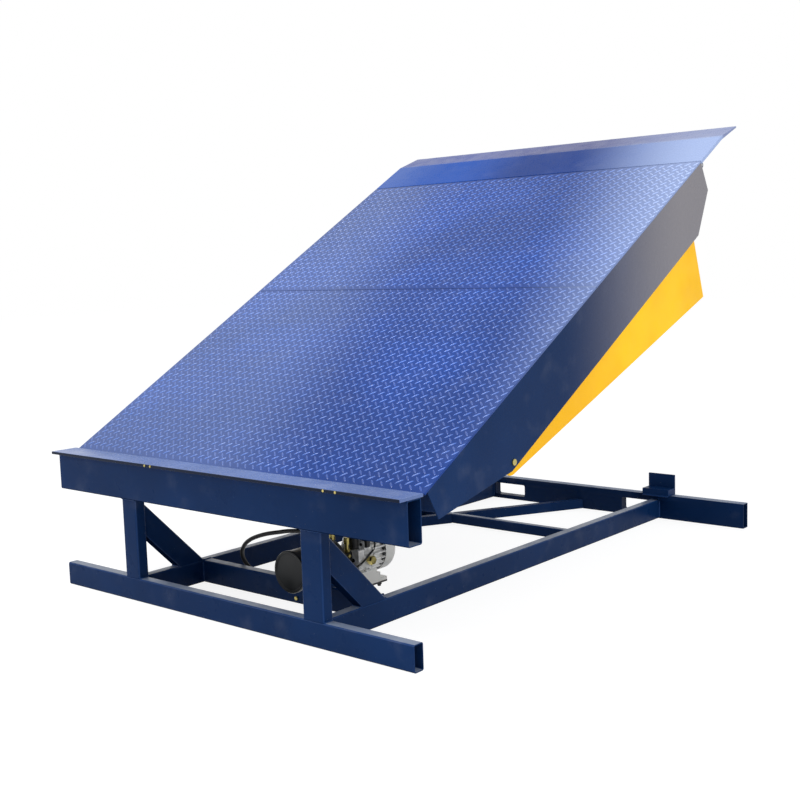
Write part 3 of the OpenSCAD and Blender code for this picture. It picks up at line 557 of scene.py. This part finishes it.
class LEVELER_OT_stage(bpy.types.Operator):
    """Sets up the camera, the pale floor and the soft light"""

    bl_idname = "leveler.stage"
    bl_label = "Stage"

    def execute(self, context):
        scene = context.scene
        scene.view_settings.view_transform = "Standard"
        lens = bpy.data.cameras.new("photo_camera")
        lens.lens, lens.sensor_width = CAMERA_LENS, CAMERA_SENSOR
        camera = bpy.data.objects.new("photo_camera", lens)
        camera.location = CAMERA_PLACE
        camera.rotation_euler = tuple(math.radians(a) for a in CAMERA_TURN)
        scene.collection.objects.link(camera)
        scene.camera = camera
        self.light_world(scene)
        self.lay_floor(scene)
        for name, lamp in LAMPS.items():
            self.hang_lamp(scene, name, *lamp)
        return {"FINISHED"}

    @staticmethod
    def hang_lamp(scene, name, place, target, size, power):
        """Hangs a square lamp, unseen itself, that looks at its target."""
        lamp = bpy.data.lights.new(name, "AREA")
        lamp.size, lamp.energy = size, power
        piece = bpy.data.objects.new(name, lamp)
        piece.location = place
        piece.rotation_euler = (Vector(place) - Vector(target)).to_track_quat("Z", "Y").to_euler()
        piece.visible_camera = False
        scene.collection.objects.link(piece)

    @staticmethod
    def seen_straight(tree):
        """1 for rays from the camera, and for those that come by a mirror or through glass."""
        path = tree.nodes.new("ShaderNodeLightPath")
        total = path.outputs["Is Camera Ray"]
        for name in ("Is Glossy Ray", "Is Transmission Ray"):
            inputs = {0: total, 1: path.outputs[name]}
            total = add_node(tree, "ShaderNodeMath", inputs, operation="MAXIMUM").outputs[0]
        return total

    def light_world(self, scene):
        """Lights the object softly from all round, and shows white where the world itself is seen."""
        world = bpy.data.worlds.new("studio")
        scene.world = world
        world.use_nodes = True
        tree = world.node_tree
        ambient = tree.nodes["Background"]
        feed(tree, ambient, {"Color": (0.93, 0.96, 1.0, 1), "Strength": 0.55})
        white = add_node(tree, "ShaderNodeBackground", {"Color": (1, 1, 1, 1)})
        inputs = {0: self.seen_straight(tree), 1: ambient.outputs[0], 2: white.outputs[0]}
        mix = add_node(tree, "ShaderNodeMixShader", inputs)
        feed(tree, tree.nodes["World Output"], {"Surface": mix.outputs[0]})

    def lay_floor(self, scene):
        """Lays a wide floor just below the feet, nearly white, that keeps the object's shadow."""
        half, drop, glow_share = 30.0, -0.001, 0.72
        corners = [(-half, -half, drop), (half, -half, drop), (half, half, drop), (-half, half, drop)]
        mesh = bpy.data.meshes.new("studio_floor")
        mesh.from_pydata(corners, [], [(0, 1, 2, 3)])
        floor = bpy.data.objects.new("studio_floor", mesh)
        scene.collection.objects.link(floor)
        material = bpy.data.materials.new("studio_floor")
        material.use_nodes = True
        tree = material.node_tree
        matt = tree.nodes["Principled BSDF"]
        feed(tree, matt, {"Base Color": (0.88, 0.88, 0.88, 1), "Roughness": 0.9})
        glow = add_node(tree, "ShaderNodeEmission", {"Color": (1, 1, 1, 1), "Strength": 1.2})
        inputs = {0: self.seen_straight(tree), 1: glow_share}
        share = add_node(tree, "ShaderNodeMath", inputs, operation="MULTIPLY")
        inputs = {0: share.outputs[0], 1: matt.outputs[0], 2: glow.outputs[0]}
        mix = add_node(tree, "ShaderNodeMixShader", inputs)
        feed(tree, tree.nodes["Material Output"], {"Surface": mix.outputs[0]})
        mesh.materials.append(material)


class LEVELER_OT_lift_hose(bpy.types.Operator):
    """Makes the pressure hose that feeds the lift cylinder, with its crimped ends"""

    bl_idname = "leveler.lift_hose"
    bl_label = "Lift Hose"

    def execute(self, context):
        diameter = sizes().hose_diameter
        path = smooth_path(HOSE_ROUTE)
        shell = Shell()
        round_along(shell, path, diameter / 2, sides=16)
        hose = shell.piece("lift_hose_rubber", "hose_rubber", replaces=["lift_hose"])
        ferrules = self.ferrules(diameter / 2)
        return {"FINISHED"}

    @staticmethod
    def ferrules(r):
        """Turned sleeves on both ends of the hose, whose radius rises and falls in three crimps."""
        crest, groove = r + 0.0045, r + 0.002
        crimp = [(-0.001, 0), (-0.001, r + 0.003), (0.004, crest), (0.007, groove), (0.011, crest),
                 (0.014, groove), (0.018, crest), (0.022, r + 0.0005), (0.022, 0)]
        shell = Shell()
        for end in HOSE_ROUTE[[0, -1]]:
            turned(shell, end, LEFT, crimp, sides=28)
        return shell.piece("hose_ferrules", "zinc_plate")


class LEVELER_OT_frame_tubes(bpy.types.Operator):
    """Makes the frame's rounded tubes"""

    bl_idname = "leveler.frame_tubes"
    bl_label = "Frame Tubes"

    @staticmethod
    def tube(name, start, end, side, width, height, **cuts):
        """Replaces one solid tube by a rounded one, with paler paint along its corners as a painted highlight
        with chips, paler tops as a painted highlight and darker undersides as painted shade.
        """
        shell = Shell()
        frame_tube(shell, start, end, side, width, height, **cuts)
        way = np.subtract(end, start)
        way = way / np.linalg.norm(way)
        axes = [way, side, np.cross(side, way), *cuts.values()]
        # Corners take a paler paint, a painted highlight with chips; tops a painted highlight; undersides
        # painted shade
        others = ("frame_edge", "frame_top", "frame_under")
        shell.piece(name + "_tube", "frame_paint", replaces=[name], others=others, axes=axes)

    def execute(self, context):
        for name in ("front_ground_beam", "upper_beam", "front_cross_tube", "middle_cross_tube"):
            low, high, middle = box_of(name)
            start, end = (low[0], *middle[1:]), (high[0], *middle[1:])
            self.tube(name, start, end, BACK, high[1] - low[1], high[2] - low[2])
        for name in ("left_rail", "right_rail"):
            low, high, middle = box_of(name)
            start, end = (middle[0], low[1], middle[2]), (middle[0], high[1], middle[2])
            self.tube(name, start, end, LEFT, high[0] - low[0], high[2] - low[2])
        for side in ("left", "right"):
            low, high, middle = box_of(side + "_post")
            start, end = (*middle[:2], low[2]), (*middle[:2], high[2])
            self.tube(side + "_post", start, end, RIGHT, high[0] - low[0], high[1] - low[1])
            low, high, middle = box_of(side + "_brace")
            width = high[0] - low[0]
            half_cut = width * math.sqrt(2)
            foot, head = (middle[0], high[1] - half_cut, low[2]), (middle[0], low[1], high[2] - half_cut)
            self.tube(side + "_brace", foot, head, RIGHT, width, 2 * width, cut_start=UP, cut_end=BACK)
        return {"FINISHED"}


class LEVELER_OT_welds(bpy.types.Operator):
    """Runs weld beads along the joints of the frame"""

    bl_idname = "leveler.welds"
    bl_label = "Welds"

    STEP, RIPPLE, RIPPLE_PITCH, TAPER = 0.0016, 0.16, 0.007, 0.004
    TOP_INSET, FOOT_INSET, END_INSET = 0.004, 0.006, 0.01

    def bead(self, shell, start, end):
        """A rippled round bead from start to end that closes to a point at both ends."""
        start, end = np.array(start), np.array(end)
        length = np.linalg.norm(end - start)
        run = np.linspace(0, length, max(12, int(length / self.STEP)))
        ripple = 1 + self.RIPPLE * np.sin(run * 2 * math.pi / self.RIPPLE_PITCH)
        taper = np.sqrt(np.clip(np.minimum(run, length - run) / self.TAPER, 0, 1))
        path = start + run[:, None] / length * (end - start)
        round_along(shell, path, sizes().weld_radius * ripple * taper, sides=8)

    def side_lines(self, side):
        """Start and end of each bead on one side's post, brace, rail and keeper."""
        (x0, y0, z0), (x1, y1, z1), _ = box_of(side + "_post")
        lines = [((x, y0 + self.TOP_INSET, z0), (x, y1 - self.TOP_INSET, z0)) for x in (x0, x1)]
        lines += [((x, y0, z1), (x, y1, z1)) for x in (x0, x1)]
        lines += [((x0, y, z1), (x1, y, z1)) for y in (y0, y1)]
        (x0, y0, z0), (x1, y1, z1), _ = box_of(side + "_brace")
        cut = 2 * (x1 - x0) * math.sqrt(2)
        lines += [((x0, y, z0), (x1, y, z0)) for y in (y1, y1 - cut)]
        lines += [((x0, y0, z), (x1, y0, z)) for z in (z1, z1 - cut)]
        (x0, y0, z0), (x1, y1, z1), _ = box_of(side + "_rail")
        foot, head = self.FOOT_INSET, z1 - self.TOP_INSET
        lines += [((x, y, foot), (x, y, head)) for x in (x0, x1) for y in (y0, y1)]
        lines += [((x0, y, z1), (x1, y, z1)) for y in (y0, y1)]
        (x0, y0, z0), (x1, y1, z1), _ = box_of(side + "_keeper")
        return [*lines, ((x0, y0, z0), (x1, y0, z0))]

    def execute(self, context):
        shell = Shell()
        lines = [*self.side_lines("left"), *self.side_lines("right")]
        for name in ("front_cross_tube", "middle_cross_tube"):
            (x0, y0, z0), (x1, y1, z1), _ = box_of(name)
            foot, head = z0 + self.FOOT_INSET, z1 - self.TOP_INSET
            for x in (x0, x1):
                lines += [((x, y0, z1), (x, y1, z1))]
                lines += [((x, y, foot), (x, y, head)) for y in (y0, y1)]
        (x0, y0, z0), (x1, y1, z1), _ = box_of("upper_beam")
        lines += [((x0 + self.END_INSET, y0, z1), (x1 - self.END_INSET, y0, z1))]
        for start, end in lines:
            self.bead(shell, start, end)
        # The beads take the paler edge paint: a painted highlight, with chips
        shell.piece("frame_welds", "frame_edge", slot="frame_paint", sharp=80)
        return {"FINISHED"}


class LEVELER_OT_frame_fittings(bpy.types.Operator):
    """Paints the rear beam, the keepers, the lugs and the approach plate, and sets the screws"""

    bl_idname = "leveler.frame_fittings"
    bl_label = "Frame Fittings"

    def execute(self, context):
        # The rear beam: darker navy as painted shade, with a painted highlight on its top face
        dress("rear_paint", "rear_beam", edge=0.004)
        dress("frame_paint", "diagonal_tubes", edge=0.004)
        dress("frame_paint", "left_keeper", "right_keeper", "deck_hinge_lugs", "cylinder_base_lug",
              "tank_saddle")
        dress("approach_paint", "approach_plate", edge=0.002)
        dress("bare_steel", "deck_hinge_pins", edge=0.001)
        low, _, middle = box_of("approach_plate")
        shell = Shell()
        pan_head = [(-0.001, 0), (-0.001, 0.005), (0.002, 0.005), (0.0035, 0.003), (0.0035, 0)]
        for screw_x in (-0.345, -0.309, 0.652, 0.710):
            turned(shell, (screw_x, low[1], middle[2]), FRONT, pan_head, sides=14)
        bolt = (0.073, box_of("front_cross_tube")[0][1], 0.023)
        hex_head(shell, bolt, FRONT, across=0.016, height=0.007)
        shell.piece("frame_screws", "zinc_plate")
        return {"FINISHED"}


class LEVELER_OT_tread_marks(bpy.types.Operator):
    """Covers the deck plates with raised tread marks in two directions"""

    bl_idname = "leveler.tread_marks"
    bl_label = "Tread Marks"

    LEAN = math.radians(45)

    @staticmethod
    def mark():
        """One lens-shaped mark: rings of an ellipse that rise and shrink to a rounded crown."""
        size = sizes()
        turn = full_turn(8)
        ring = np.stack([size.tread_length / 2 * np.cos(turn), size.tread_width / 2 * np.sin(turn)], 1)
        shares, heights = np.array([0.0, 1.0, 0.70, 0.34, 0.0]), np.array([-0.05, -0.05, 0.70, 0.96, 1.0])
        flat = shares[:, None, None] * ring
        rise = np.broadcast_to((heights * size.tread_height)[:, None, None], (*flat.shape[:2], 1))
        return np.concatenate([flat, rise], 2)

    def field(self, name, start, stop, half_width, top):
        """Repeats the mark on a square lattice, with the other direction at the middle of each cell.

        Tips that would pass the plate's edge stop at it. Marks of the first direction are paler, a painted
        highlight; marks of the second direction have a duller, darker finish, painted shade.
        """
        pitch, margin, edge = sizes().tread_pitch, 0.008, 0.002
        across = np.arange(-half_width, half_width + pitch, pitch / 2)
        up = np.arange(start, stop + pitch, pitch / 2)
        i, j = np.meshgrid(np.arange(len(across)), np.arange(len(up)), indexing="ij")
        keep = (i + j) % 2 == 0
        keep &= (np.abs(across[i]) < half_width - margin) & (up[j] > start + margin) & (up[j] < stop - margin)
        x, s, lean = across[i[keep]], up[j[keep]], np.where(i[keep] % 2, -1.0, 1.0)
        base = self.mark()
        flat = base.reshape(-1, 3)
        turn = lean * self.LEAN
        u = x[:, None] + np.cos(turn)[:, None] * flat[:, 0] - np.sin(turn)[:, None] * flat[:, 1]
        v = s[:, None] + np.sin(turn)[:, None] * flat[:, 0] + np.cos(turn)[:, None] * flat[:, 1]
        u = np.clip(u, edge - half_width, half_width - edge)
        points = on_deck(u, np.clip(v, start + edge, stop - edge), top + flat[:, 2][None])
        first = np.arange(len(x))[:, None, None] * len(flat)
        shell = Shell()
        shell.faces(points, (grid_faces(*base.shape[:2], close_v=True) + first).reshape(-1, 4))
        mesh = shell.piece(name, "tread_crown", "deck", "deck_paint", sharp=80).data
        mesh.materials.append(finishes()["tread_flank"])
        centre = vectors(mesh.polygons, "center") - HINGE
        from_left, from_start = centre[:, 0] + half_width, centre @ ALONG - start
        rising, falling = (np.rint((from_left + sign * from_start) / pitch) for sign in (1, -1))
        # Marks leaning one way take the paler paint, a painted highlight; the others the darker paint,
        # painted shade
        mesh.polygons.foreach_set("material_index", ((rising + falling) % 2).astype(np.int32))

    def execute(self, context):
        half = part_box("near_tread_plate")[1][0]
        near, far = (vectors(NODES[name].data.vertices, "co") - HINGE
                     for name in ("near_tread_plate", "far_tread_plate"))
        top = (near @ OUT).max()
        for name, reach in (("near_tread_marks", near @ ALONG), ("far_tread_marks", far @ ALONG)):
            self.field(name, reach.min(), reach.max(), half, top)
        self.seam((far @ ALONG).min(), half, top)
        return {"FINISHED"}

    @staticmethod
    def seam(place, half, top):
        """The ground weld between the two plates: a low, rippled arch carried across the deck."""
        inset, ripple, radians_per_metre = 0.002, 0.3, 900
        x = np.linspace(-half + inset, half - inset, 160)
        arch = np.array([
            (-0.0025, -0.001), (-0.0018, 0.0001), (0, 0.0004), (0.0018, 0.0001), (0.0025, -0.001)])
        rise = arch[:, 1] * (1 + ripple * np.sin(x * radians_per_metre))[:, None]
        points = on_deck(x[:, None], place + arch[:, 0], top + rise)
        shell = Shell()
        shell.grid(points, close_v=True)
        for end in points[[0, -1]]:
            shell.faces(end, [np.arange(len(arch))])
        # Darker paint for the seam: painted shade, paler at the right by a painted reflection
        shell.piece("deck_seam", "seam_paint", "deck", "deck_paint")


class LEVELER_OT_deck(bpy.types.Operator):
    """Paints the deck's plates, skirts, ribs and hinge, and the lip"""

    bl_idname = "leveler.deck"
    bl_label = "Deck and Lip"

    def execute(self, context):
        dress("deck_paint", "near_tread_plate", "far_tread_plate")
        dress("lip_paint", "lip_plate")
        dress("skirt_paint", "left_skirt", "right_skirt")
        dress("frame_paint", "deck_ribs", "near_header", "far_header")
        dress("frame_paint", "deck_hinge_knuckles", "deck_lip_knuckles", "cylinder_deck_lug",
              "lip_knuckle_row", edge=0.001)
        dress("bare_steel", "lip_hinge_pin", edge=0)
        return {"FINISHED"}


class LEVELER_OT_toe_guards(bpy.types.Operator):
    """Paints the yellow toe guards and their bolts"""

    bl_idname = "leveler.toe_guards"
    bl_label = "Toe Guards"

    def execute(self, context):
        dress("guard_paint", "left_toe_guard", "right_toe_guard", edge=0.001)
        dress("zinc_plate", "guard_bolts", edge=0.001)
        return {"FINISHED"}


class LEVELER_OT_power_unit(bpy.types.Operator):
    """Makes the oil tank, the valve block, the motor with its pump casting, and the terminal box's seal"""

    bl_idname = "leveler.power_unit"
    bl_label = "Power Unit"

    def execute(self, context):
        dress("cowl_paint", "fan_cowl", "terminal_box", edge=0.001)
        dress("zinc_plate", "valve_port", "hose_union", edge=0.001)
        self.tank()
        self.block()
        self.motor()
        self.casting()
        self.grille()
        self.terminal_seal()
        return {"FINISHED"}

    @staticmethod
    def tank():
        """The oil tank: a turned drum with a dished front and a raised band at each end."""
        low, high, middle = box_of("oil_tank")
        r, length = (high[0] - low[0]) / 2, high[1] - low[1]
        waist = r - 0.0025
        profile = [(0.005, 0), (0.005, r - 0.013), (0, r - 0.008), (0, r - 0.002), (0.003, r), (0.014, r),
                   (0.016, waist), (length - 0.016, waist), (length - 0.014, r), (length, r), (length, 0)]
        shell = Shell()
        turned(shell, (middle[0], low[1], middle[2]), BACK, profile, sides=64)
        shell.piece("oil_tank_skin", "tank_paint", replaces=["oil_tank"])

    @staticmethod
    def block():
        """A low black block with eased edges, two upright turned fittings and a few plugs."""
        low, high, middle = box_of("valve_block")
        port = box_of("valve_port")[2]
        height = 0.075
        top = low[2] + height
        body, zinc = Shell(), Shell()
        outline = rounded_outline(high[0] - low[0], high[1] - low[1], 0.006)
        slab(body, (*middle[:2], low[2]), RIGHT, BACK, outline, soft_levels(top - low[2]))
        body.piece("valve_block_body", "tank_paint", slot="cast_aluminium", replaces=["valve_block"])
        foot, reach = (low[0] + 0.016, port[1], top), port[2] - top
        hex_head(zinc, foot, UP, across=0.030, height=0.022)
        elbow = [(0.02, 0), (0.02, 0.011), (reach - 0.014, 0.011), (reach - 0.012, 0.015),
                 (reach + 0.014, 0.015), (reach + 0.016, 0.012), (reach + 0.016, 0)]
        turned(zinc, foot, UP, elbow, sides=20)
        foot, reach = (high[0] - 0.019, high[1] - 0.014, top), 0.062
        hex_head(zinc, foot, UP, across=0.022, height=0.012)
        valve = [(0.01, 0), (0.01, 0.008), (reach - 0.028, 0.008), (reach - 0.027, 0.012),
                 (reach - 0.002, 0.012), (reach, 0.010), (reach, 0)]
        turned(zinc, foot, UP, valve, sides=20)
        for y, z in ((0.020, 0.030), (0.050, 0.022), (0.022, 0.062), (0.055, 0.064)):
            hex_head(zinc, (high[0], low[1] + y, low[2] + z), RIGHT, across=0.014, height=0.007)
        zinc.piece("block_fittings", "zinc_plate")

    @staticmethod
    def motor():
        """The motor: the radius swings with the angle between body and fin tip, and shrinks down the bell."""
        low, high, middle = box_of("motor")
        r, length, bell = (high[0] - low[0]) / 2, high[1] - low[1], 0.075
        axis_start = np.array([middle[0], low[1], middle[2]])
        lap = bell + 0.001
        fins = [(bell, 0), (bell, 0.94), (bell + 0.003, 1), (length, 1), (length, 0)]
        ribs = [(0, 0), (0, 0.5), (0.022, 0.52), (0.048, 0.74), (0.066, 0.93), (lap, 0.95), (lap, 0)]
        shell = Shell()
        for count, depth, levels in ((24, 0.15, fins), (10, 0.07, ribs)):
            turn = full_turn(count * 8)
            radius = r * (1 - depth * np.clip(0.5 - 1.4 * np.cos(count * turn), 0, 1))
            ring = np.stack([radius * np.cos(turn), 0 * turn, radius * np.sin(turn)], 1)
            levels = np.array(levels)
            points = axis_start + levels[:, :1, None] * BACK + levels[:, 1:, None] * ring
            shell.grid(points, close_v=True)
        shell.piece("motor_skin", "cast_aluminium", replaces=["motor"])

    @staticmethod
    def casting():
        """The pump casting at the motor's front: eased blocks, with a turned coil, a connector and plugs."""
        cast, dark, zinc = Shell(), Shell(), Shell()
        coil_foot, coil_top, outlet = (0.243, 0.512, 0.216), (0.243, 0.512, 0.264), (0.268, 0.5626, 0.1655)
        slab(cast, (0.254, 0.530, 0.174), RIGHT, UP, rounded_outline(0.056, 0.088, 0.008), soft_levels(0.034))
        slab(cast, (0.254, 0.562, 0.228), RIGHT, UP, rounded_outline(0.052, 0.044, 0.005), soft_levels(0.028))
        coil = [(0, 0), (0, 0.017), (0.003, 0.019), (0.046, 0.019), (0.049, 0.017), (0.049, 0)]
        turned(dark, coil_foot, UP, coil, sides=28)
        slab(dark, (0.279, 0.556, 0.249), RIGHT, UP, rounded_outline(0.028, 0.054, 0.005), soft_levels(0.021))
        hex_head(dark, (0.251, 0.497, 0.1725), FRONT, across=0.015, height=0.003)
        hex_head(dark, (0.262, 0.535, 0.233), FRONT, across=0.012, height=0.003)
        nut = [(0, 0), (0, 0.010), (0.010, 0.010), (0.012, 0.008), (0.012, 0)]
        turned(zinc, coil_top, UP, nut, sides=20)
        turned(zinc, outlet, RIGHT, [(0, 0), (0, 0.013), (0.018, 0.013), (0.018, 0)], sides=20)
        hex_head(zinc, (0.285, *outlet[1:]), RIGHT, across=0.034, height=0.020)
        cast.piece("pump_casting", "cast_aluminium")
        dark.piece("solenoid_coil", "hose_rubber")
        zinc.piece("pump_fittings", "zinc_plate")

    @staticmethod
    def grille():
        """Round wire bent into rings, and spokes that close to points, on the cowl's back."""
        _, high, middle = box_of("fan_cowl")
        back = np.array([middle[0], high[1], middle[2]])
        shell = Shell()
        angle = full_turn(48)
        for r in (0.018, 0.034, 0.050):
            ring = back + r * np.stack([np.cos(angle), 0 * angle, np.sin(angle)], 1)
            round_along(shell, ring, 0.0028, sides=8, closed=True)
        for turn in full_turn(6):
            way = np.array([math.cos(turn), 0, math.sin(turn)])
            spoke = back + np.array([0.0181, 0.019, 0.049, 0.0499])[:, None] * way
            round_along(shell, spoke, np.array([0, 0.0024, 0.0024, 0]), sides=8)
        shell.piece("cowl_grille", "cowl_paint")

    @staticmethod
    def terminal_seal():
        """The gasket under the terminal box: a thin eased block, with a turned gland below it."""
        low, high, middle = box_of("terminal_box")
        lip, depth = 0.004, 0.006
        shell = Shell()
        outline = rounded_outline(high[0] - low[0] + lip, high[1] - low[1] + lip, 0.006)
        slab(shell, (*middle[:2], low[2] - depth), RIGHT, BACK, outline, soft_levels(0.0065, 0.01))
        gland = [(0, 0), (0, 0.011), (0.010, 0.011), (0.012, 0.008), (0.018, 0.007), (0.018, 0)]
        turned(shell, (high[0] - 0.016, high[1] - 0.034, low[2] - 0.005), DOWN, gland, sides=20)
        shell.piece("terminal_seal", "hose_rubber")


class LEVELER_OT_motor_cables(bpy.types.Operator):
    """Makes the two black cables over the motor"""

    bl_idname = "leveler.motor_cables"
    bl_label = "Motor Cables"

    @staticmethod
    def cable(name, points, diameter):
        """A round section carried along a smooth path, with a tapered gland turned on each end."""
        path, r = smooth_path(points, 10), diameter / 2
        shell, plugs = Shell(), Shell()
        round_along(shell, path, r, sides=12)
        cable = shell.piece(name, "hose_rubber")
        gland = [(-0.008, 0), (-0.008, r + 0.003), (0.002, r + 0.003), (0.004, r + 0.001),
                 (0.010, r + 0.0006), (0.010, 0)]
        for end, inward in ((path[0], path[1] - path[0]), (path[-1], path[-2] - path[-1])):
            turned(plugs, end, inward / np.linalg.norm(inward), gland, sides=16)
        glands = plugs.piece(name + "_glands", "hose_rubber")

    def execute(self, context):
        self.cable("solenoid_cable", SOLENOID_ROUTE, 0.0085)
        middle = box_of("motor")[2]
        steps, radius, before_cowl = 12, 0.0865, 0.0065
        turn = np.radians(np.linspace(75, -58, steps))
        y = np.full(steps, box_of("fan_cowl")[0][1] - before_cowl)
        rim = np.stack([middle[0] + radius * np.cos(turn), y, middle[2] + radius * np.sin(turn)], 1)
        self.cable("motor_lead", rim, 0.008)
        return {"FINISHED"}


class LEVELER_OT_lift_cylinder(bpy.types.Operator):
    """Paints the lift cylinder's barrel and polishes its rod"""

    bl_idname = "leveler.lift_cylinder"
    bl_label = "Lift Cylinder"

    def execute(self, context):
        dress("frame_paint", "cylinder_barrel", edge=0.001)
        dress("bare_steel", "cylinder_rod", edge=0.001)
        return {"FINISHED"}


OPERATORS = (
    LEVELER_OT_stage, LEVELER_OT_lift_hose, LEVELER_OT_motor_cables, LEVELER_OT_frame_tubes, LEVELER_OT_welds,
    LEVELER_OT_frame_fittings, LEVELER_OT_tread_marks, LEVELER_OT_deck, LEVELER_OT_toe_guards,
    LEVELER_OT_power_unit, LEVELER_OT_lift_cylinder,
)


class LEVELER_PT_sidebar(bpy.types.Panel):
    """Lists the steps that dress the leveler"""

    bl_label = "Dock Leveler"
    bl_idname = "LEVELER_PT_sidebar"
    bl_space_type = "VIEW_3D"
    bl_region_type = "UI"
    bl_category = "Leveler"

    def draw(self, context):
        for operator in OPERATORS:
            self.layout.operator(operator.bl_idname)


CLASSES = (LevelerSizes, LevelerColours, *OPERATORS, LEVELER_PT_sidebar)


def register():
    for cls in CLASSES:
        bpy.utils.register_class(cls)
    bpy.types.Scene.leveler_sizes = PointerProperty(type=LevelerSizes)
    bpy.types.Scene.leveler_colours = PointerProperty(type=LevelerColours)


def unregister():
    del bpy.types.Scene.leveler_colours
    del bpy.types.Scene.leveler_sizes
    for cls in reversed(CLASSES):
        bpy.utils.unregister_class(cls)


def main():
    register()
    bpy.ops.leveler.stage()
    bpy.ops.leveler.lift_hose()
    bpy.ops.leveler.motor_cables()
    bpy.ops.leveler.frame_tubes()
    bpy.ops.leveler.welds()
    bpy.ops.leveler.frame_fittings()
    bpy.ops.leveler.tread_marks()
    bpy.ops.leveler.deck()
    bpy.ops.leveler.toe_guards()
    bpy.ops.leveler.power_unit()
    bpy.ops.leveler.lift_cylinder()


if __name__ == "__main__":
    main()
